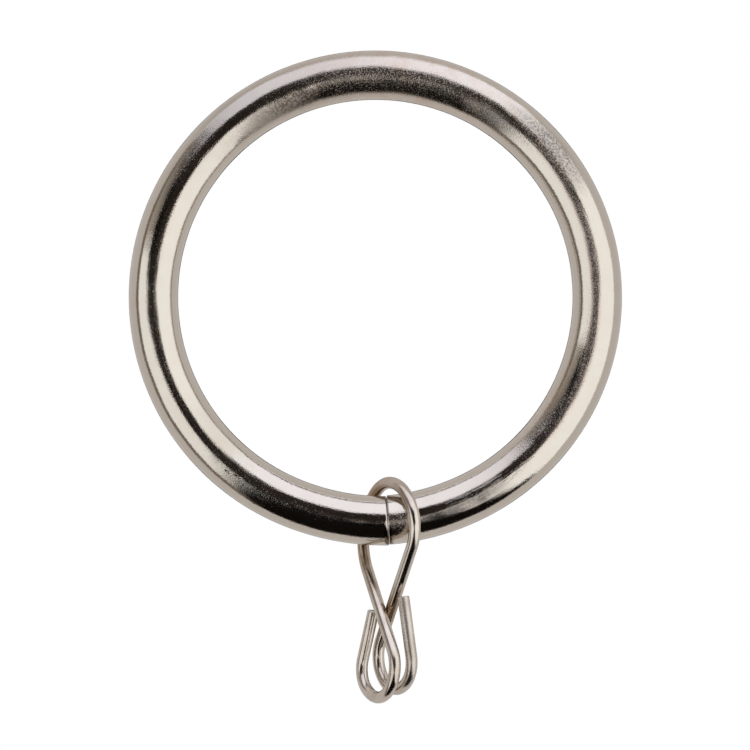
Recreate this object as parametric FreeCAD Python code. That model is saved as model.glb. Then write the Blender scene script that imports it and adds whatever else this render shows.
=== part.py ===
"""Curtain ring with a wire hook: a rolled round bar and one bent length of spring wire.

Lengths are in millimetres and angles in degrees. The ring stands in the plane of X and Z with its
centre at the origin, the pole runs through it along Y, and the hook hangs at its bottom.
"""

import FreeCAD, Part
import math
import os

Vector = FreeCAD.Vector

# Ring: a round bar rolled to a circle, its two ends butted at the bottom
ring_inside_diameter = 40.0
bar_diameter = 5.0
seam_angle = 3.3
seam_gap = 0.1
left_end_chamfer = 0.2
right_end_chamfer = 0.1

# The last stretch before each end kept some of the straightness of the bar
bar_end_length = 10.0
left_end_bend_radius = 25.0
right_end_bend_radius = 24.0

# Hook: one wire, looped over the bar, with two legs that cross under it
wire_diameter = 1.2
hook_yaw = 57.0
hook_sideways = 1.5
hook_forward = 0.25

# Loop: two bends that meet at one angle, wider at the back than at the front
loop_centre_drop = 0.6
loop_front_slack = 0.6
loop_back_slack = 2.3
loop_join_angle = 128.0
loop_lay = 0.15

# Each leg ends in a round bend that opens upward, the left one hanging lower
hook_inside_radius = 2.5
left_hook_drop = 12.5
left_hook_shift = -0.65
left_tail_height = 5.55
left_tail_gap = 0.1
right_hook_drop = 11.7
right_hook_shift = -0.35
right_tail_height = 6.35
right_tail_gap = 0.12
tail_lay = 0.45
leg_crossing_gap = 0.08
cut_end_chamfer = 0.1

# How finely the bends are divided, and how much of each bend is left to a short straight run
corners_per_hook_bend = 3
corners_per_loop_bend = 2
bend_fullness = 0.96

ring_radius = (ring_inside_diameter + bar_diameter) / 2
bar_radius = bar_diameter / 2
wire_radius = wire_diameter / 2
hook_bend_radius = hook_inside_radius + wire_radius

LEFT = 1
RIGHT = -1
Y_AXIS = Vector(0, 1, 0)
ORIGIN = Vector(0, 0, 0)


def ring_direction(angle):
    """The way out from the ring's centre, turned by an angle from straight down towards +X."""
    turned = math.radians(angle)
    return Vector(math.sin(turned), 0, -math.cos(turned))


def along_ring(angle):
    """The way along the bar at an angle from the bottom, towards the right end's side."""
    turned = math.radians(angle)
    return Vector(math.cos(turned), 0, math.sin(turned))


def bar_section(angle):
    """The bar's round section at an angle from the bottom."""
    middle = ring_direction(angle) * ring_radius
    edge = Part.makeCircle(bar_radius, middle, along_ring(angle))
    return Part.Face(Part.Wire(edge))


def bar_end(side, bend_radius, chamfer):
    """One end of the bar, bent less than the rest, and cut in line with the seam, its rim broken."""
    end_angle = math.degrees(bar_end_length / ring_radius)
    start = seam_angle - side * end_angle
    bend_centre = ring_direction(start) * (ring_radius - bend_radius)
    overrun = 2 * end_angle
    end = bar_section(start).revolve(bend_centre, Y_AXIS * -side, overrun)

    # A block that holds all that lies past the seam, up to half the gap before it
    block_size = bar_end_length * 2
    block = Part.makeBox(block_size, block_size, block_size)
    block.translate(Vector(-seam_gap / 2, -block_size / 2, -ring_radius - block_size / 2))
    if side == RIGHT:
        block.translate(Vector(seam_gap - block_size, 0, 0))
    block.rotate(ORIGIN, Y_AXIS, -seam_angle)
    end = end.cut(block)

    seam_side = -side * seam_gap / 2
    across_seam = along_ring(seam_angle)
    rim = [edge for edge in end.Edges
           if abs(edge.CenterOfMass.dot(across_seam) - seam_side) < seam_gap / 4]
    return end.makeChamfer(chamfer, rim)


def make_ring():
    """The whole ring: one long bend and the two ends, fused to a single bar."""
    end_angle = math.degrees(bar_end_length / ring_radius)
    start = seam_angle + end_angle
    body = bar_section(start).revolve(ORIGIN, Y_AXIS * -1, 360 - 2 * end_angle)
    left_end = bar_end(LEFT, left_end_bend_radius, left_end_chamfer)
    right_end = bar_end(RIGHT, right_end_bend_radius, right_end_chamfer)
    return body.fuse([left_end, right_end]).removeSplitter()


def on_circle(centre, radius, angle):
    """A point of the hook's plane, on a circle at an angle in radians."""
    return centre + Vector(radius * math.cos(angle), 0, radius * math.sin(angle))


def bend_corners(centre, radius, start, end, count):
    """The corners of the polygon that wraps a bend from outside and touches it at both ends."""
    step = (end - start) / count
    reach = radius / math.cos(step / 2)
    return [on_circle(centre, reach, start + step * (index + 0.5)) for index in range(count)]


def leg_angles(loop_centre, loop_radius, bend_centre, side):
    """The angles at which a straight leg leaves the loop and meets its hook's bend.

    The leg changes sides on its way down, so it touches the two circles on opposite sides.
    """
    line = bend_centre - loop_centre
    spread = math.acos((loop_radius + hook_bend_radius) / line.Length)
    leaves = math.atan2(line.z, line.x) - side * spread
    return leaves, leaves + math.pi


def level_on(top, bottom, height):
    """The share of the way down from top to bottom at which a height is reached."""
    return (top.z - height) / (top.z - bottom.z)


def crossing_height(left_top, left_bottom, right_top, right_bottom):
    """The height at which the two legs pass each other, seen square to the hook's plane."""
    left_slope = (left_bottom.x - left_top.x) / (left_bottom.z - left_top.z)
    right_slope = (right_bottom.x - right_top.x) / (right_bottom.z - right_top.z)
    left_base = left_top.x - left_slope * left_top.z
    right_base = right_top.x - right_slope * right_top.z
    return (right_base - left_base) / (left_slope - right_slope)


def hook_lay(top, bottom, height):
    """How far a hook lies out of the hook's plane, so that the legs clear each other at a height."""
    lay_at_crossing = (wire_diameter + leg_crossing_gap) / 2
    return loop_lay + (lay_at_crossing - loop_lay) / level_on(top, bottom, height)


def tail_end(top, bottom, bend_centre, tail_height, tail_gap, side):
    """The cut end of the wire, beside its own leg at a height above the hook's bend."""
    height = bend_centre.z + tail_height
    beside = top + (bottom - top) * level_on(top, bottom, height)
    steepness = abs(bottom.z - top.z) / (bottom - top).Length
    return beside - Vector(side * (wire_diameter + tail_gap) / steepness, 0, 0)


def hook_corners(top, bottom, meets, bend_centre, lay, end, side):
    """The corners of one hook from its leg to its cut end, with the bend swept away from the leg."""
    line = end - bend_centre
    spread = math.acos(hook_bend_radius / line.Length)
    leaves = math.atan2(line.z, line.x) + side * spread
    sweep = (side * (meets - leaves)) % (2 * math.pi)
    corners = bend_corners(bend_centre, hook_bend_radius, meets, meets - side * sweep,
                           corners_per_hook_bend)
    out_of_plane = Vector(0, -side * lay, 0)
    return [corner + out_of_plane for corner in corners] + [end + Vector(0, -side * tail_lay, 0)]


def hook_path():
    """The corners of the wire's middle line with the radius of the bend at each inner corner."""
    bar_height = -math.sqrt(ring_radius ** 2 - hook_sideways ** 2)
    bar_half_width = bar_radius / math.sin(math.radians(hook_yaw))
    front_radius = bar_half_width + wire_radius + loop_front_slack
    back_radius = bar_half_width + wire_radius + loop_back_slack
    join = math.radians(loop_join_angle)
    front_centre = Vector(0, 0, bar_height - loop_centre_drop)
    back_centre = on_circle(front_centre, front_radius - back_radius, join)
    bar_underside = bar_height - bar_radius
    left_centre = Vector(left_hook_shift, 0, bar_underside - left_hook_drop)
    right_centre = Vector(right_hook_shift, 0, bar_underside - right_hook_drop)

    # The left hook's leg comes from the back of the loop, the right hook's from its front
    left_leaves, left_meets = leg_angles(back_centre, back_radius, left_centre, LEFT)
    right_leaves, right_meets = leg_angles(front_centre, front_radius, right_centre, RIGHT)
    left_top = on_circle(back_centre, back_radius, left_leaves)
    left_bottom = on_circle(left_centre, hook_bend_radius, left_meets)
    right_top = on_circle(front_centre, front_radius, right_leaves)
    right_bottom = on_circle(right_centre, hook_bend_radius, right_meets)
    crossing = crossing_height(left_top, left_bottom, right_top, right_bottom)

    left_end = tail_end(left_top, left_bottom, left_centre, left_tail_height, left_tail_gap, LEFT)
    right_end = tail_end(right_top, right_bottom, right_centre, right_tail_height,
                         right_tail_gap, RIGHT)
    left_hook = hook_corners(left_top, left_bottom, left_meets, left_centre,
                             hook_lay(left_top, left_bottom, crossing), left_end, LEFT)
    right_hook = hook_corners(right_top, right_bottom, right_meets, right_centre,
                              hook_lay(right_top, right_bottom, crossing), right_end, RIGHT)

    back = bend_corners(back_centre, back_radius, left_leaves % (2 * math.pi), join,
                        corners_per_loop_bend)
    front = bend_corners(front_centre, front_radius, join, right_leaves, corners_per_loop_bend)
    back[0] += Vector(0, -loop_lay, 0)
    front[-1] += Vector(0, loop_lay, 0)

    corners = left_hook[::-1] + back + front + right_hook
    hook_bends = [hook_bend_radius] * corners_per_hook_bend
    loop_bends = [back_radius] * len(back) + [front_radius] * len(front)
    return corners, hook_bends + loop_bends + hook_bends


def rounded_path(corners, radii):
    """Straight runs through the corners, joined by tangent arcs of the given radii."""
    edges = []
    run_start = corners[0]
    for index, radius in enumerate(radii, start=1):
        corner = corners[index]
        to_last = (corners[index - 1] - corner).normalize()
        to_next = (corners[index + 1] - corner).normalize()
        half_angle = to_last.getAngle(to_next) / 2
        bend = radius * bend_fullness
        arc_start = corner + to_last * (bend / math.tan(half_angle))
        arc_end = corner + to_next * (bend / math.tan(half_angle))
        inward = (to_last + to_next).normalize()
        arc_middle = corner + inward * (bend / math.sin(half_angle) - bend)
        edges.append(Part.LineSegment(run_start, arc_start).toShape())
        edges.append(Part.Arc(arc_start, arc_middle, arc_end).toShape())
        run_start = arc_end
    edges.append(Part.LineSegment(run_start, corners[-1]).toShape())
    return Part.Wire(edges)


def make_hook():
    """The wire swept along its path, the rims of its cut ends broken, hung over the bar."""
    corners, radii = hook_path()
    path = rounded_path(corners, radii)
    section = Part.Wire(Part.makeCircle(wire_radius, corners[0], corners[1] - corners[0]))
    wire = path.makePipeShell([section], True, False)
    cut_ends = [corners[0], corners[-1]]
    rims = [edge for edge in wire.Edges
            if min(edge.CenterOfMass.distanceToPoint(end) for end in cut_ends) < wire_radius / 2]
    hook = wire.makeChamfer(cut_end_chamfer, rims)
    hook.rotate(ORIGIN, Vector(0, 0, 1), -hook_yaw)
    hook.translate(Vector(hook_sideways, -hook_forward, 0))
    return hook


os.makedirs("parts", exist_ok=True)
make_ring().exportStep("parts/ring.step")
make_hook().exportStep("parts/wire_hook.step")
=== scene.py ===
import bpy
import bmesh
import math
from mathutils import Matrix, Vector
from mathutils.kdtree import KDTree


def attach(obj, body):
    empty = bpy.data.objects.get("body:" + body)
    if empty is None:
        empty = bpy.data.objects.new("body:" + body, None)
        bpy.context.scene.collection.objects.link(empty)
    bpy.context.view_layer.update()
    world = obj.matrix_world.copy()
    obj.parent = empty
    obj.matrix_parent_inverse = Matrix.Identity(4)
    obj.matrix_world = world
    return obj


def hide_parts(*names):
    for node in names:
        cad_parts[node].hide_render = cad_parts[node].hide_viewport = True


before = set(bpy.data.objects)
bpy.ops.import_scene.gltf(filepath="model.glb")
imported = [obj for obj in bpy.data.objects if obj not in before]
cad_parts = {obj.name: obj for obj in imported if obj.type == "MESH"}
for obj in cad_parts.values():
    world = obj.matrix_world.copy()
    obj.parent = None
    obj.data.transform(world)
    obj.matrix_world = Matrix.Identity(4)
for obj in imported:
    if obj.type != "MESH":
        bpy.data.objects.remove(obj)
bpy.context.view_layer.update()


# The ring: a steel bar of 5 mm rolled to a circle of 40 mm inside. Its two ends are butted at the
# bottom and kept some of the bar's straightness. It is tumbled, then plated with satin nickel.
MM = 0.001
BAR_RADIUS = 2.5 * MM
RING_RADIUS = 22.5 * MM
SEAM_ANGLE = math.radians(3.3)
SEAM_GAP = 0.02 * MM
LEFT_RIM = 0.2 * MM
RIGHT_RIM = 0.06 * MM
END_ANGLE = 10 * MM / RING_RADIUS
LEFT_END_RADIUS = 25 * MM
RIGHT_END_RADIUS = 24 * MM
BAR_SIDES = 96
RING_STEPS = 300
END_STEPS = 28
HAIR = 0.0001 * MM
SMOOTH_ANGLE = math.radians(50)
RELIEF_DEPTH = 0.035 * MM


def ring_direction(angle):
    """The way out from the ring's centre, turned from straight down towards +X."""
    return Vector((math.sin(angle), 0, -math.cos(angle)))


def deselect_all():
    """Leaves nothing selected, in object mode."""
    if bpy.context.object and bpy.context.object.mode != "OBJECT":
        bpy.ops.object.mode_set(mode="OBJECT")
    bpy.ops.object.select_all(action="DESELECT")


def select_verts(test):
    """In edit mode, selects the vertices for which the test holds, and nothing else."""
    bpy.ops.mesh.select_mode(type="VERT")
    mesh = bmesh.from_edit_mesh(bpy.context.object.data)
    for vert in mesh.verts:
        vert.select = test(vert.co)
    mesh.select_flush_mode()
    bmesh.update_edit_mesh(bpy.context.object.data)


def spin_end(start_angle, bend_radius, towards, rim_width):
    """Bends one end of the bar about its own, larger radius, and cuts it in the seam's plane."""
    bend_centre = ring_direction(start_angle) * (RING_RADIUS - bend_radius)
    drift = (bend_radius - RING_RADIUS) * math.sin(END_ANGLE) + SEAM_GAP / 2
    tilt = math.asin(drift / bend_radius)
    bpy.ops.mesh.spin(steps=END_STEPS, angle=END_ANGLE - tilt, center=bend_centre,
                      axis=(0, towards, 0))
    rim_centre = bend_centre + ring_direction(SEAM_ANGLE - towards * tilt) * bend_radius
    turn = Matrix.Rotation(-towards * tilt, 3, "Y")
    mesh = bmesh.from_edit_mesh(bpy.context.object.data)
    rim = [vert for vert in mesh.verts if vert.select]
    bmesh.ops.rotate(mesh, cent=rim_centre, matrix=turn, verts=rim)
    bmesh.update_edit_mesh(bpy.context.object.data)
    bpy.ops.mesh.edge_face_add()
    bpy.ops.mesh.bevel(offset=rim_width, segments=4, affect="EDGES", clamp_overlap=True)


def store_unrolled(piece, unroll):
    """Keeps each vertex's place on the straight bar: how far along, and where in the section."""
    kept = piece.data.attributes.new("unrolled", "FLOAT_VECTOR", "POINT")
    for vert, value in zip(piece.data.vertices, kept.data):
        value.vector = unroll(vert.co)


def unroll_bar(place):
    """The seam is at length zero; the other two numbers are outward and away from the viewer."""
    angle = (math.atan2(place.x, -place.z) - SEAM_ANGLE) % math.tau
    return angle * RING_RADIUS, math.hypot(place.x, place.z) - RING_RADIUS, place.y


deselect_all()
right_start = SEAM_ANGLE + END_ANGLE
right_middle = ring_direction(right_start) * RING_RADIUS
bpy.ops.mesh.primitive_circle_add(vertices=BAR_SIDES, radius=BAR_RADIUS, location=right_middle,
                                  rotation=(0, math.pi / 2 - right_start, 0))
ring = bpy.context.object
ring.name = "nickel_ring"
bpy.ops.object.transform_apply(location=True, rotation=True, scale=True)
bpy.ops.object.mode_set(mode="EDIT")
bpy.ops.mesh.select_all(action="SELECT")
bpy.ops.mesh.spin(steps=RING_STEPS, angle=math.tau - 2 * END_ANGLE, center=(0, 0, 0),
                  axis=(0, 1, 0))
spin_end(SEAM_ANGLE - END_ANGLE, LEFT_END_RADIUS, 1, LEFT_RIM)
along_bar = ring_direction(right_start + math.pi / 2)
select_verts(lambda place: (place - right_middle).length < BAR_RADIUS + HAIR
             and abs((place - right_middle).dot(along_bar)) < HAIR)
spin_end(right_start, RIGHT_END_RADIUS, -1, RIGHT_RIM)
bpy.ops.mesh.select_all(action="SELECT")
bpy.ops.mesh.remove_doubles(threshold=HAIR)
bpy.ops.mesh.normals_make_consistent(inside=False)
bpy.ops.object.mode_set(mode="OBJECT")
bpy.ops.object.shade_smooth_by_angle(angle=SMOOTH_ANGLE)
store_unrolled(ring, unroll_bar)


def new_group(name, inputs, outputs):
    """A shader node group with its sockets: inputs are (name, kind, default), outputs (name, kind)."""
    group = bpy.data.node_groups.new(name, "ShaderNodeTree")
    for label, kind, default in inputs:
        socket = group.interface.new_socket(label, in_out="INPUT", socket_type="NodeSocket" + kind)
        if default is not None:
            socket.default_value = default
    for label, kind in outputs:
        group.interface.new_socket(label, in_out="OUTPUT", socket_type="NodeSocket" + kind)
    return group, group.nodes.new("NodeGroupInput"), group.nodes.new("NodeGroupOutput")


def add_node(tree, kind, sockets=None, **settings):
    """Adds a node, and links each socket to a given output or sets it to a given value."""
    node = tree.nodes.new(kind)
    for name, value in settings.items():
        setattr(node, name, value)
    for label, value in (sockets or {}).items():
        if isinstance(value, bpy.types.NodeSocket):
            tree.links.new(value, node.inputs[label])
        else:
            node.inputs[label].default_value = value
    return node


def calculate(tree, operation, *values):
    """A number from one math node."""
    return add_node(tree, "ShaderNodeMath", dict(enumerate(values)), operation=operation).outputs[0]


def remap(tree, value, low, high, to_low=0.0, to_high=1.0):
    """A value carried from one range to another, and held inside it."""
    sockets = {"Value": value, "From Min": low, "From Max": high, "To Min": to_low,
               "To Max": to_high}
    return add_node(tree, "ShaderNodeMapRange", sockets).outputs["Result"]


def noise(tree, place, per_metre, detail=2.0, roughness=0.5):
    """Smooth noise from 0 to 1 with about so many lumps in a metre."""
    return add_node(tree, "ShaderNodeTexNoise",
                    {"Vector": place, "Scale": per_metre, "Detail": detail,
                     "Roughness": roughness}).outputs["Fac"]


def mix(tree, share, first, second):
    """A colour between two; each is a node's output or its red, green and blue."""
    first, second = [(*colour, 1) if isinstance(colour, tuple) else colour
                     for colour in (first, second)]
    return add_node(tree, "ShaderNodeMix", {0: share, 6: first, 7: second},
                    data_type="RGBA").outputs[2]


# Tumbled grain: shallow dents, and finer dull specks that lie closer where the plate is worn
grain, grain_in, grain_out = new_group(
    "tumbled_grain",
    [("Place", "Vector", None), ("Dents Per Metre", "Float", 9000.0),
     ("Specks Per Metre", "Float", 7500.0), ("Wear", "Float", 0.0)],
    [("Height", "Float"), ("Specks", "Float")])
dents = noise(grain, grain_in.outputs["Place"], grain_in.outputs["Dents Per Metre"], 1.0)
elsewhere = add_node(grain, "ShaderNodeVectorMath", {0: grain_in.outputs["Place"],
                                                     1: (0.31, 0.17, 0.23)}, operation="ADD")
specks = noise(grain, elsewhere.outputs[0], grain_in.outputs["Specks Per Metre"], 1.0)
sparse = remap(grain, grain_in.outputs["Wear"], 0.0, 1.0, 0.66, 0.42)
specks = remap(grain, specks, sparse, 0.80)
grain.links.new(dents, grain_out.inputs["Height"])
grain.links.new(specks, grain_out.inputs["Specks"])

# Length scratches: fine lines that run along the bar or the wire
lines, lines_in, lines_out = new_group(
    "length_scratches",
    [("Unrolled", "Vector", None), ("Lines Per Metre", "Float", 9000.0),
     ("Stretch", "Float", 0.04), ("Amount", "Float", 1.0)],
    [("Height", "Float"), ("Lines", "Float")])
parts = add_node(lines, "ShaderNodeSeparateXYZ", {0: lines_in.outputs["Unrolled"]})
drawn_out = calculate(lines, "MULTIPLY", parts.outputs["X"], lines_in.outputs["Stretch"])
stretched = add_node(lines, "ShaderNodeCombineXYZ", {0: drawn_out, 1: parts.outputs["Y"],
                                                     2: parts.outputs["Z"]}).outputs[0]
streaks = noise(lines, stretched, lines_in.outputs["Lines Per Metre"], 2.0, 0.6)
height = calculate(lines, "MULTIPLY", streaks, lines_in.outputs["Amount"])
lines.links.new(height, lines_out.inputs["Height"])
lines.links.new(remap(lines, streaks, 0.5, 0.75), lines_out.inputs["Lines"])

nickel = bpy.data.materials.new("satin_nickel")
nickel.use_nodes = True
tree = nickel.node_tree
shader = tree.nodes["Principled BSDF"]
shader.inputs["Metallic"].default_value = 1.0
place = add_node(tree, "ShaderNodeTexCoord").outputs["Object"]
unrolled = add_node(tree, "ShaderNodeAttribute", attribute_name="unrolled").outputs["Vector"]
unrolled_mm = add_node(tree, "ShaderNodeVectorMath", {0: unrolled, 1: (1 / MM, 1 / MM, 1 / MM)},
                       operation="MULTIPLY").outputs[0]
patches = noise(tree, place, 160.0)


def reach_from(centre, size, lean=0.0):
    """How far a place is from a spot's centre on the straight bar, as a share of the spot's size.

    Centre and size are in millimetres: along the bar from the seam, outward, and away from the
    viewer, so that the front is at -2.5. The spot can lean from the bar's length.
    """
    offset = add_node(tree, "ShaderNodeVectorMath", {0: unrolled_mm, 1: centre},
                      operation="SUBTRACT").outputs[0]
    if lean:
        offset = add_node(tree, "ShaderNodeVectorRotate", {"Vector": offset, "Angle": -lean},
                          rotation_type="Z_AXIS").outputs[0]
    share = add_node(tree, "ShaderNodeVectorMath", {0: offset, 1: size},
                     operation="DIVIDE").outputs[0]
    return add_node(tree, "ShaderNodeVectorMath", {0: share}, operation="LENGTH").outputs["Value"]


def worn_spot(centre, size, strength):
    """A patch of the bar with an uneven, soft border."""
    uneven = calculate(tree, "MULTIPLY_ADD", patches, 0.4, reach_from(centre, size))
    return remap(tree, uneven, 1.2, 0.6, 0.0, strength)


def strongest(first, *others):
    """The largest of several shares."""
    for other in others:
        first = calculate(tree, "MAXIMUM", first, other)
    return first


# Wear: the top rubs on the pole, and the front of both sides on the next rings. From the seam, the
# right side is about 35 mm along the bar, the top 70 mm and the left side 106 mm.
reddened = worn_spot((33.0, -0.2, -2.4), (24.0, 0.7, 1.4), 0.9)
wear = strongest(worn_spot((69.5, 0.0, -1.0), (19.0, 4.5, 5.0), 1.0),
                 reddened,
                 worn_spot((104.0, -0.1, -2.4), (16.0, 0.7, 1.4), 0.35),
                 worn_spot((20.5, -1.2, -1.8), (7.0, 1.8, 2.5), 0.7),
                 worn_spot((90.0, 1.0, -2.2), (7.0, 1.2, 1.5), 0.7),
                 worn_spot((127.0, 0.0, -2.4), (17.0, 1.8, 1.6), 0.2),
                 worn_spot((50.0, 0.3, -2.4), (9.0, 0.8, 1.4), 0.8),
                 worn_spot((10.0, 0.2, -2.4), (8.0, 0.9, 1.4), 0.5),
                 worn_spot((1.0, 0.4, -2.4), (1.8, 1.6, 1.4), 0.9),
                 worn_spot((81.0, -1.2, -2.0), (8.0, 1.4, 2.0), 0.7))
rough_corner = worn_spot((50.0, 1.05, -2.1), (6.5, 1.1, 1.6), 1.0)
hazy = strongest(worn_spot((80.5, -1.3, -2.1), (6.5, 1.3, 1.5), 1.2),
                 worn_spot((56.5, -0.9, -2.2), (4.5, 1.2, 1.5), 0.5),
                 worn_spot((89.0, -1.0, -2.2), (6.0, 1.0, 1.5), 0.5),
                 worn_spot((7.5, 0.45, -2.4), (4.5, 0.45, 1.2), 0.2))
dimmed = strongest(worn_spot((81.0, 1.4, -2.1), (16.0, 1.7, 1.8), 1.0),
                   worn_spot((77.0, -1.3, -2.0), (12.0, 1.5, 2.0), 1.0))
inner_wear = strongest(worn_spot((77.0, -0.9, -2.2), (7.0, 1.5, 2.0), 1.0),
                       worn_spot((69.0, -1.0, -2.2), (14.0, 1.2, 2.0), 0.7))
speckled = worn_spot((128.0, 0.3, -2.3), (16.0, 1.9, 1.6), 0.04)
scratch_depth = strongest(worn_spot((10.5, 0.25, -2.4), (6.5, 0.9, 1.4), 1.4),
                          worn_spot((130.0, -0.1, -2.4), (14.0, 1.7, 1.6), 0.2))

# Relief: dents everywhere, coarser ones at the rough corner, scratches, and a slow swell
dented = add_node(tree, "ShaderNodeGroup",
                  {"Place": place, "Wear": wear, "Dents Per Metre": 9000.0,
                   "Specks Per Metre": 7500.0}, node_tree=grain)
dent_depth = remap(tree, wear, 0.0, 1.0, 0.20, 0.27)
dent_height = calculate(tree, "MULTIPLY", dented.outputs["Height"], dent_depth)
coarse_dents = calculate(tree, "MULTIPLY", noise(tree, place, 4200.0, 1.0), rough_corner)
dent_height = calculate(tree, "MULTIPLY_ADD", coarse_dents, 1.5, dent_height)
scratched = add_node(tree, "ShaderNodeGroup",
                     {"Unrolled": unrolled, "Lines Per Metre": 8500.0, "Stretch": 0.06,
                      "Amount": scratch_depth}, node_tree=lines)
swell = calculate(tree, "MULTIPLY", noise(tree, place, 260.0, 1.0),
                  remap(tree, wear, 0.0, 1.0, 2.0, 4.0))
surface = calculate(tree, "ADD", calculate(tree, "ADD", dent_height, scratched.outputs["Height"]),
                    swell)

# Two nicks at the lower left, short grooves that lean from the bar's length
nicks = strongest(remap(tree, reach_from((124.3, 0.60, -2.4), (0.40, 0.10, 0.8), -0.23), 1.0, 0.4),
                  remap(tree, reach_from((125.4, 0.36, -2.4), (0.45, 0.10, 0.8), -0.22), 1.0, 0.4))
surface = calculate(tree, "MULTIPLY_ADD", nicks, -0.9, surface)

# A long spot at the front of the lower right is rubbed flat, bounded only along and outward
parts = add_node(tree, "ShaderNodeSeparateXYZ", {0: unrolled})
ANY_DEPTH = 1e6
flat = reach_from((9.5, 0.50, 0.0), (7.5, 0.50, ANY_DEPTH))
flat_depth = remap(tree, calculate(tree, "MULTIPLY", flat, flat), 0.0, 1.0, -1.1, 0.0)
on_front = remap(tree, parts.outputs["Z"], 0.0, -1.0 * MM)
surface = calculate(tree, "MULTIPLY_ADD", flat_depth, on_front, surface)

# The section is a little out of round: on the inner side by the seam, and on the outer at the top
for low, high, amount in ((-1.1, -0.1, worn_spot((11.5, 0.0, -2.4), (11.0, 5.0, 3.0), 0.9)),
                          (0.1, 1.2, worn_spot((73.0, 0.0, -2.4), (13.0, 5.0, 3.0), 1.5))):
    ramp = add_node(tree, "ShaderNodeMapRange",
                    {"Value": parts.outputs["Y"], "From Min": low * MM, "From Max": high * MM},
                    interpolation_type="SMOOTHSTEP").outputs["Result"]
    surface = calculate(tree, "MULTIPLY_ADD", ramp, amount, surface)

relief = add_node(tree, "ShaderNodeBump",
                  {"Height": surface, "Strength": 1.0, "Distance": RELIEF_DEPTH})
tree.links.new(relief.outputs["Normal"], shader.inputs["Normal"])

# Colour: pale nickel, with brown blotches and specks where it is worn
blotches = calculate(tree, "MULTIPLY", remap(tree, noise(tree, place, 700.0, 3.0, 0.6), 0.42, 0.60),
                     remap(tree, wear, 0.0, 1.0, 0.15, 1.0))
brown_grain = calculate(tree, "MULTIPLY", remap(tree, noise(tree, place, 4200.0, 1.0), 0.42, 0.58),
                        inner_wear)
matt_grain = calculate(tree, "MULTIPLY", rough_corner,
                       remap(tree, noise(tree, place, 5200.0, 2.0), 0.34, 0.64, 0.2, 1.0))
tint = mix(tree, patches, (0.67, 0.62, 0.545), (0.63, 0.585, 0.52))
for share, colour in ((blotches, (0.62, 0.515, 0.435)),
                      (dimmed, (0.52, 0.478, 0.425)),
                      (dented.outputs["Specks"], (0.63, 0.535, 0.46)),
                      (reddened, (0.60, 0.50, 0.44)),
                      (brown_grain, (0.26, 0.19, 0.135)),
                      (matt_grain, (0.20, 0.18, 0.175))):
    tint = mix(tree, share, tint, colour)

# The seam: painted shade of its narrow gap as a dark line on the ring's inner side, and a brown stain
# of dirt round its outer end
bar_length = math.tau * RING_RADIUS
from_half = calculate(tree, "ABSOLUTE", calculate(tree, "SUBTRACT", parts.outputs["X"],
                                                  bar_length / 2))
from_seam = calculate(tree, "SUBTRACT", bar_length / 2, from_half)
painted_seam_shade = calculate(tree, "MULTIPLY", remap(tree, from_seam, 0.13 * MM, 0.05 * MM),
                      remap(tree, parts.outputs["Y"], 0.3 * MM, -0.3 * MM))
uneven_seam = calculate(tree, "MULTIPLY_ADD", noise(tree, place, 2400.0, 2.0), 0.9 * MM, from_seam)
stain = calculate(tree, "MULTIPLY", remap(tree, uneven_seam, 0.90 * MM, 0.60 * MM),
                  remap(tree, parts.outputs["Y"], 0.8 * MM, 1.2 * MM))
# Painted shade: the seam's narrow gap drawn as a dark line in the colour
tint = mix(tree, painted_seam_shade, tint, (0.14, 0.11, 0.09))
tint = mix(tree, stain, tint, (0.12, 0.07, 0.04))
tree.links.new(tint, shader.inputs["Base Color"])

# Roughness: a bright finish that the wear, the haze and the specks make duller
dull = remap(tree, wear, 0.0, 1.0, 0.10, 0.19)
speck_dullness = calculate(tree, "ADD", remap(tree, wear, 0.0, 1.0, 0.12, 0.34), speckled)
for share, roughness in ((rough_corner, 0.11), (reddened, 0.07), (hazy, 0.22),
                         (dented.outputs["Specks"], speck_dullness)):
    dull = calculate(tree, "MULTIPLY_ADD", share, roughness, dull)
tree.links.new(dull, shader.inputs["Roughness"])
ring.data.materials.append(nickel)
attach(ring, "ring")
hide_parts("ring")


# The hook: one length of nickel-plated spring wire of 1.2 mm. It loops over the bar, its legs cross
# under it, and each ends in a round bend that opens upward for the curtain's heading tape.
WIRE_RADIUS = 0.6 * MM
HOOK_YAW = math.radians(57)
HOOK_PLACE = Vector((1.5, -0.25, 0)) * MM
BAR_HEIGHT = -math.sqrt(RING_RADIUS ** 2 - HOOK_PLACE.x ** 2)
BAR_HALF_WIDTH = BAR_RADIUS / math.sin(HOOK_YAW)
FRONT_SLACK = 0.6 * MM
BACK_SLACK = 2.3 * MM
FRONT_RADIUS = BAR_HALF_WIDTH + WIRE_RADIUS + FRONT_SLACK
BACK_RADIUS = BAR_HALF_WIDTH + WIRE_RADIUS + BACK_SLACK
LOOP_JOIN = math.radians(128)
LOOP_DROP = 0.6 * MM
LOOP_LAY = 0.15 * MM
HOOK_RADIUS = 2.5 * MM + WIRE_RADIUS
TAIL_LAY = 0.45 * MM
CROSSING_GAP = 0.08 * MM
BEND_FULLNESS = 0.96
CORNERS_PER_HOOK = 3
CORNERS_PER_LOOP_BEND = 2
CUT_EDGE = 0.1 * MM
WIRE_SIDES = 40
BEND_STEP = math.radians(5)


def on_circle(centre, radius, angle):
    """A point of the hook's own plane, on a circle."""
    return centre + Vector((radius * math.cos(angle), 0, radius * math.sin(angle)))


def bend_corners(centre, radius, start, end, count):
    """The corners of the polygon that wraps a bend from outside and touches it at both ends."""
    step = (end - start) / count
    reach = radius / math.cos(step / 2)
    return [on_circle(centre, reach, start + step * (index + 0.5)) for index in range(count)]


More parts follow.
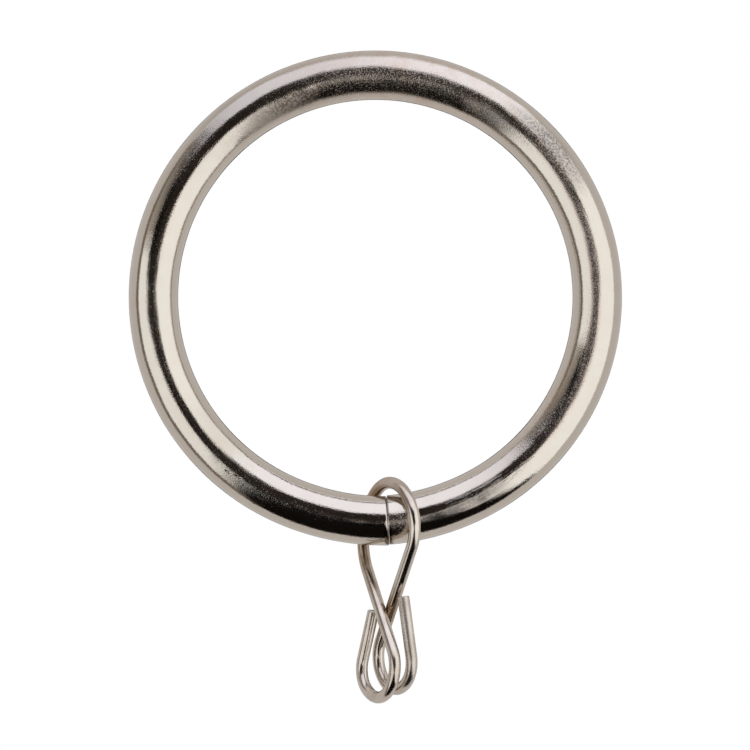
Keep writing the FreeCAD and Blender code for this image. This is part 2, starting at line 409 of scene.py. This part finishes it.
class Leg:
    """One straight leg from the loop down to its hook; side is 1 for the left hook, -1 for right."""

    def __init__(self, loop_centre, loop_radius, drop, shift, tail_height, tail_gap, side):
        self.side = side
        self.bend = Vector((shift, 0, BAR_HEIGHT - BAR_RADIUS - drop))
        line = self.bend - loop_centre
        spread = math.acos((loop_radius + HOOK_RADIUS) / line.length)
        self.leaves = math.atan2(line.z, line.x) - side * spread
        self.top = on_circle(loop_centre, loop_radius, self.leaves)
        self.bottom = on_circle(self.bend, HOOK_RADIUS, self.leaves + math.pi)
        self.slope = (self.bottom.x - self.top.x) / (self.bottom.z - self.top.z)
        height = self.bend.z + tail_height
        steepness = abs(self.bottom.z - self.top.z) / (self.bottom - self.top).length
        beside = self.top.lerp(self.bottom, self.share_down(height))
        self.end = beside - Vector((side * (2 * WIRE_RADIUS + tail_gap) / steepness, 0, 0))

    def share_down(self, height):
        """The share of the way down the leg at which a height is reached."""
        return (self.top.z - height) / (self.top.z - self.bottom.z)

    def hook_corners(self, crossing):
        """The corners of the hook from the leg to the cut end, laid to one side of the plane."""
        line = self.end - self.bend
        touch = math.atan2(line.z, line.x) + self.side * math.acos(HOOK_RADIUS / line.length)
        meets = self.leaves + math.pi
        sweep = (self.side * (meets - touch)) % math.tau
        lay_at_crossing = WIRE_RADIUS + CROSSING_GAP / 2
        lay = LOOP_LAY + (lay_at_crossing - LOOP_LAY) / self.share_down(crossing)
        bend = bend_corners(self.bend, HOOK_RADIUS, meets, meets - self.side * sweep,
                            CORNERS_PER_HOOK)
        return ([corner - Vector((0, self.side * lay, 0)) for corner in bend]
                + [self.end - Vector((0, self.side * TAIL_LAY, 0))])


front_centre = Vector((0, 0, BAR_HEIGHT - LOOP_DROP))
back_centre = on_circle(front_centre, FRONT_RADIUS - BACK_RADIUS, LOOP_JOIN)
left_leg = Leg(back_centre, BACK_RADIUS, drop=12.5 * MM, shift=-0.65 * MM,
               tail_height=5.55 * MM, tail_gap=0.1 * MM, side=1)
right_leg = Leg(front_centre, FRONT_RADIUS, drop=11.7 * MM, shift=-0.35 * MM,
                tail_height=6.35 * MM, tail_gap=0.12 * MM, side=-1)

# The height at which the legs pass each other, seen square to the hook's plane
left_base = left_leg.top.x - left_leg.slope * left_leg.top.z
right_base = right_leg.top.x - right_leg.slope * right_leg.top.z
crossing = (right_base - left_base) / (left_leg.slope - right_leg.slope)

# The whole wire as corners with a bend radius each, from the left cut end to the right
back = bend_corners(back_centre, BACK_RADIUS, left_leg.leaves % math.tau, LOOP_JOIN,
                    CORNERS_PER_LOOP_BEND)
front = bend_corners(front_centre, FRONT_RADIUS, LOOP_JOIN, right_leg.leaves,
                     CORNERS_PER_LOOP_BEND)
back[0].y -= LOOP_LAY
front[-1].y += LOOP_LAY
corners = left_leg.hook_corners(crossing)[::-1] + back + front + right_leg.hook_corners(crossing)
hook_bends = [HOOK_RADIUS] * CORNERS_PER_HOOK
radii = hook_bends + [BACK_RADIUS] * len(back) + [FRONT_RADIUS] * len(front) + hook_bends
hang = Matrix.Translation(HOOK_PLACE) @ Matrix.Rotation(-HOOK_YAW, 4, "Z")
corners = [hang @ corner for corner in corners]

# The wire is bent as on a former: each straight run is drawn out, then turned about its bend
deselect_all()
first_run = (corners[1] - corners[0]).normalized()
bpy.ops.mesh.primitive_circle_add(vertices=WIRE_SIDES, radius=WIRE_RADIUS, location=corners[0],
                                  rotation=first_run.to_track_quat("Z", "Y").to_euler())
wire = bpy.context.object
wire.name = "spring_wire_hook"
bpy.ops.object.transform_apply(location=True, rotation=True, scale=True)
bpy.ops.object.mode_set(mode="EDIT")
bpy.ops.mesh.select_all(action="SELECT")
middle_line = [corners[0]]
for index, radius in enumerate(radii, start=1):
    corner = corners[index]
    to_last = (corners[index - 1] - corner).normalized()
    to_next = (corners[index + 1] - corner).normalized()
    half_angle = to_last.angle(to_next) / 2
    bend = radius * BEND_FULLNESS
    arc_start = corner + to_last * (bend / math.tan(half_angle))
    centre = corner + (to_last + to_next).normalized() * (bend / math.sin(half_angle))
    axis = to_next.cross(to_last).normalized()
    turn = math.pi - 2 * half_angle
    steps = max(2, round(turn / BEND_STEP))
    bpy.ops.mesh.extrude_region_move(
        TRANSFORM_OT_translate={"value": arc_start - middle_line[-1]})
    bpy.ops.mesh.spin(steps=steps, angle=turn, center=centre, axis=-axis)
    for step in range(steps + 1):
        turned = Matrix.Rotation(turn * step / steps, 3, axis)
        middle_line.append(centre + turned @ (arc_start - centre))
bpy.ops.mesh.extrude_region_move(
    TRANSFORM_OT_translate={"value": corners[-1] - middle_line[-1]})
middle_line.append(corners[-1])
for end in (corners[-1], corners[0]):
    select_verts(lambda place: (place - end).length < WIRE_RADIUS + HAIR)
    bpy.ops.mesh.edge_face_add()
    bpy.ops.mesh.bevel(offset=CUT_EDGE, segments=3, affect="EDGES", clamp_overlap=True)
bpy.ops.mesh.select_all(action="SELECT")
bpy.ops.mesh.remove_doubles(threshold=HAIR)
bpy.ops.mesh.normals_make_consistent(inside=False)
bpy.ops.object.mode_set(mode="OBJECT")
bpy.ops.object.shade_smooth_by_angle(angle=SMOOTH_ANGLE)

# Places along the wire, with a section frame that is carried along without twisting
marks = KDTree(len(middle_line))
for index, mark in enumerate(middle_line):
    marks.insert(mark, index)
marks.balance()
runs = [after - before for before, after in zip(middle_line, middle_line[1:])]
runs.append(runs[-1])
lengths = [0.0]
across = [runs[0].orthogonal().normalized()]
for run, next_run in zip(runs, runs[1:]):
    lengths.append(lengths[-1] + run.length)
    across.append(run.rotation_difference(next_run) @ across[-1])


def unroll_wire(place):
    """The length from the left cut end, and the place in the wire's section."""
    _, index, _ = marks.find(place)
    along = runs[index].normalized()
    offset = place - middle_line[index]
    return (lengths[index] + offset.dot(along), offset.dot(across[index]),
            offset.dot(along.cross(across[index])))


store_unrolled(wire, unroll_wire)
drawn = bpy.data.materials.new("drawn_nickel_wire")
drawn.use_nodes = True
tree = drawn.node_tree
shader = tree.nodes["Principled BSDF"]
shader.inputs["Metallic"].default_value = 1.0
place = add_node(tree, "ShaderNodeTexCoord").outputs["Object"]
unrolled = add_node(tree, "ShaderNodeAttribute", attribute_name="unrolled").outputs["Vector"]
stains = noise(tree, place, 420.0, 3.0, 0.6)
drawn_lines = add_node(tree, "ShaderNodeGroup",
                       {"Unrolled": unrolled, "Lines Per Metre": 7000.0, "Stretch": 0.03,
                        "Amount": 0.10}, node_tree=lines)
relief = add_node(tree, "ShaderNodeBump", {"Height": drawn_lines.outputs["Height"],
                                           "Strength": 1.0, "Distance": RELIEF_DEPTH})
tree.links.new(relief.outputs["Normal"], shader.inputs["Normal"])
tint = mix(tree, remap(tree, stains, 0.45, 0.65), (0.66, 0.60, 0.53), (0.56, 0.49, 0.42))

# Painted reflection and shade: the back of the loop and its leg are painted brown for the ring and dim
# room they reflect, and so is the place where the legs cross, for the shade there
length = add_node(tree, "ShaderNodeSeparateXYZ", {0: unrolled}).outputs["X"]
behind = calculate(tree, "MULTIPLY", remap(tree, length, 23 * MM, 29 * MM),
                   remap(tree, length, 43 * MM, 38 * MM))
from_crossing = calculate(tree, "ABSOLUTE", calculate(tree, "SUBTRACT", length, 55.5 * MM))
painted_reflection_and_shade = calculate(tree, "MAXIMUM", behind, remap(tree, from_crossing, 3.5 * MM, 1.0 * MM))
painted_reflection_and_shade = calculate(tree, "MULTIPLY", painted_reflection_and_shade, remap(tree, stains, 0.35, 0.60, 0.35, 1.0))
# Painted reflection and shade, made uneven by the stain noise, mixed into the wire's colour
tree.links.new(mix(tree, painted_reflection_and_shade, tint, (0.40, 0.30, 0.21)), shader.inputs["Base Color"])

# The drawn lines are duller than the wire between them, and so is the right tail
dull = remap(tree, drawn_lines.outputs["Lines"], 0.0, 1.0, 0.17, 0.28)
on_right_tail = remap(tree, length, 68 * MM, 72 * MM)
dull = calculate(tree, "MULTIPLY_ADD", on_right_tail, 0.20, dull)
tree.links.new(dull, shader.inputs["Roughness"])
wire.data.materials.append(drawn)
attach(wire, "hook")
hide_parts("wire_hook")


# The studio: softboxes right, left and above, cut to the outlines that the metal reflects, two of
# them with a flap in front. Dark cards that only the metal sees close the room, white paper stands
# behind, and a pale disc below is the floor.
CAMERA_DISTANCE = 0.6
VIEW_WIDTH = 76.05 * MM
CAMERA_SIDE = -0.035 * MM
CAMERA_DROP = 7.9 * MM

scene = bpy.context.scene
scene.view_settings.view_transform = "Standard"

camera_data = bpy.data.cameras.new("camera")
camera = bpy.data.objects.new("camera", camera_data)
scene.collection.objects.link(camera)
scene.camera = camera
camera_data.lens = camera_data.sensor_width * CAMERA_DISTANCE / VIEW_WIDTH
camera_data.clip_start = 0.01
camera.location = (CAMERA_SIDE, -CAMERA_DISTANCE, -CAMERA_DROP)
camera.rotation_euler = (math.pi / 2, 0, 0)


def glowing(name, colour, level, fade=None):
    """A material that only gives off light; it goes out between the two places of the fade."""
    cloth = bpy.data.materials.new(name)
    cloth.use_nodes = True
    tree = cloth.node_tree
    tree.nodes.remove(tree.nodes["Principled BSDF"])
    light = add_node(tree, "ShaderNodeEmission", {"Color": (*colour, 1), "Strength": level})
    tree.links.new(light.outputs["Emission"], tree.nodes["Material Output"].inputs["Surface"])
    if fade:
        full, out = Vector(fade[0]), Vector(fade[1])
        direction = (out - full).normalized()
        place = add_node(tree, "ShaderNodeTexCoord").outputs["Object"]
        way = add_node(tree, "ShaderNodeVectorMath", {0: place, 1: direction},
                       operation="DOT_PRODUCT").outputs["Value"]
        dimming = remap(tree, way, full.dot(direction), out.dot(direction), level, 0.0)
        tree.links.new(dimming, light.inputs["Strength"])
    return cloth


def panel(name, material, corners_of_panel):
    """A flat panel of the studio that the camera never sees."""
    data = bpy.data.meshes.new(name)
    data.from_pydata(corners_of_panel, [], [tuple(range(len(corners_of_panel)))])
    sheet = bpy.data.objects.new(name, data)
    scene.collection.objects.link(sheet)
    data.materials.append(material)
    sheet.visible_camera = False
    return sheet


CREAM = (1.0, 1.005, 1.01)
LILAC = (1.0, 1.01, 1.13)
BROWN = (1.0, 0.86, 0.74)
right_light = glowing("right_softbox", CREAM, 1.25, ((-0.071, 0, -0.065), (-0.198, 0, -0.183)))
panel("right_softbox", right_light,
      [(0.236, -1.58, -0.71), (0.236, -1.58, -0.095), (0.267, -1.40, -0.086),
       (0.292, -1.25, -0.062), (0.313, -1.14, -0.033), (0.348, -0.935, 0.036),
       (0.357, -0.884, 0.116), (0.321, -1.089, 0.234), (0.50, -0.048, 0.32),
       (0.50, -0.048, -0.537), (0.469, -0.237, -0.545), (0.458, -0.30, -0.60),
       (0.409, -0.582, -0.650), (0.376, -0.774, -0.695), (0.326, -1.063, -0.722)])
panel("right_flap", right_light,
      [(0.166, -1.58, -0.62), (0.086, -1.58, -0.323), (0.137, -1.58, -0.307),
       (0.139, -1.58, -0.241), (0.127, -1.58, -0.175), (0.113, -1.58, -0.102),
       (0.134, -1.58, -0.098), (0.218, -1.58, -0.097), (0.245, -1.58, -0.094),
       (0.245, -1.58, -0.71)])
left_light = glowing("left_softbox", CREAM, 1.12, ((0, 0, -0.52), (0, 0, -0.70)))
panel("left_softbox", left_light,
      [(-0.5, -0.15, 0.12), (-0.5, -0.60, 0.12), (-0.5, -0.797, 0.0), (-0.5, -1.064, -0.10),
       (-0.5, -1.58, -0.22), (-0.5, -1.58, -0.609), (-0.5, -1.0, -0.64), (-0.5, -0.70, -0.79),
       (-0.5, -0.25, -0.79)])
panel("left_flap", left_light,
      [(-0.5, -1.58, -0.22), (-0.403, -1.58, -0.233), (-0.317, -1.58, -0.254),
       (-0.329, -1.58, -0.341), (-0.5, -1.58, -0.609)])
panel("top_softbox", glowing("top_softbox", LILAC, 1.28),
      [(-0.09, -0.74, 0.5), (0.40, -0.95, 0.5), (0.40, 0.078, 0.5), (-0.09, 0.08, 0.5)])
panel("top_left_softbox", glowing("top_left_softbox", LILAC, 1.20, ((-0.25, 0, 0), (-1.05, 0, 0))),
      [(-0.51, -0.82, 0.5), (-0.09, -0.74, 0.5), (-0.09, 0.08, 0.5), (-0.51, 0.09, 0.5)])
panel("corner_cloth", glowing("corner_cloth", CREAM, 1.12),
      [(0.50, -0.048, 0.32), (0.321, -1.089, 0.234), (0.325, -1.07, 0.36), (0.40, -0.95, 0.5),
       (0.40, 0.078, 0.5)])
panel("left_wall",
      glowing("left_wall", (1, 0.89, 0.80), 0.55, ((-0.5, -0.10, 0.12), (-0.5, -0.38, 0.52))),
      [(-0.5, -0.04, 0.12), (-0.5, -0.60, 0.12), (-0.53, -0.60, 0.48), (-0.53, 0.0, 0.48)])
panel("left_edge", glowing("left_edge", BROWN, 0.20),
      [(-0.5, -0.15, 0.105), (-0.5, -0.03, 0.42), (-0.5, 0.08, 0.42), (-0.5, -0.03, 0.105),
       (-0.5, -0.04, -0.79), (-0.5, -0.25, -0.79)])
panel("warm_strip", glowing("warm_strip", (1.0, 0.50, 0.42), 0.10),
      [(0.05, -1.59, -0.40), (0.05, -1.59, -0.05), (0.20, -1.59, -0.03), (0.20, -1.59, -0.40)])

black = glowing("black_cloth", (1.0, 0.82, 0.72), 0.006)
brown_room = glowing("brown_room", (1.0, 0.74, 0.62), 0.022)
dark_front = glowing("dark_front", (1.0, 0.74, 0.62), 0.022, ((0, 0, 0.10), (0, 0, -0.45)))
SIDE, DROP, FRONT = 0.56, 0.80, -1.6
for name, cloth, corners_of_card in (
        ("front_card", dark_front,
         [(-SIDE, FRONT, -DROP), (SIDE, FRONT, -DROP), (SIDE, FRONT, SIDE), (-SIDE, FRONT, SIDE)]),
        ("low_card", black,
         [(-SIDE, FRONT, -DROP), (SIDE, FRONT, -DROP), (SIDE, -0.015, -DROP), (-SIDE, -0.015, -DROP)]),
        ("high_card", brown_room,
         [(-SIDE, FRONT, SIDE), (SIDE, FRONT, SIDE), (SIDE, 0.09, SIDE), (-SIDE, 0.09, SIDE)]),
        ("left_card", black,
         [(-SIDE, FRONT, -DROP), (-SIDE, FRONT, SIDE), (-SIDE, -0.04, SIDE), (-SIDE, -0.04, -DROP)]),
        ("right_card", black,
         [(SIDE, FRONT, -DROP), (SIDE, FRONT, SIDE), (SIDE, -0.05, SIDE), (SIDE, -0.05, -DROP)]),
        ("back_card", brown_room,
         [(-0.33, 1, -0.33), (0.33, 1, -0.33), (0.33, 1, 0.33), (-0.33, 1, 0.33)])):
    card = panel(name, cloth, corners_of_card)
    card.visible_diffuse = False
    card.visible_shadow = False

FLOOR_DROP = 75 * MM
FLOOR_RADIUS = 0.20
deselect_all()
bpy.ops.mesh.primitive_circle_add(vertices=128, radius=FLOOR_RADIUS, fill_type="NGON",
                                  location=(0, 0, -FLOOR_DROP))
floor = bpy.context.object
floor.name = "floor"
floor.visible_glossy = False
paper = bpy.data.materials.new("pale_floor")
paper.use_nodes = True
tree = paper.node_tree
shader = tree.nodes["Principled BSDF"]
shader.inputs["Base Color"].default_value = (0.93, 0.93, 0.93, 1)
shader.inputs["Roughness"].default_value = 0.9
shader.inputs["Specular IOR Level"].default_value = 0.0
from_middle = add_node(tree, "ShaderNodeVectorMath",
                       {0: add_node(tree, "ShaderNodeTexCoord").outputs["Object"]},
                       operation="LENGTH").outputs["Value"]
tree.links.new(remap(tree, from_middle, 0.5 * FLOOR_RADIUS, FLOOR_RADIUS, 1.0, 0.0),
               shader.inputs["Alpha"])
floor.data.materials.append(paper)

# The paper is plain white to the camera, and gives the object and the floor less light
world = bpy.data.worlds.new("white_paper")
scene.world = world
world.use_nodes = True
tree = world.node_tree
rays = add_node(tree, "ShaderNodeLightPath")
in_metal = calculate(tree, "MAXIMUM", rays.outputs["Is Glossy Ray"],
                     rays.outputs["Is Transmission Ray"])
level = calculate(tree, "MAXIMUM", remap(tree, in_metal, 0.0, 1.0, 0.80, 0.62),
                  rays.outputs["Is Camera Ray"])
background = tree.nodes["Background"]
tree.links.new(level, background.inputs["Strength"])
tree.links.new(mix(tree, in_metal, (1.0, 1.0, 1.0), (1.05, 1.0, 0.98)), background.inputs["Color"])
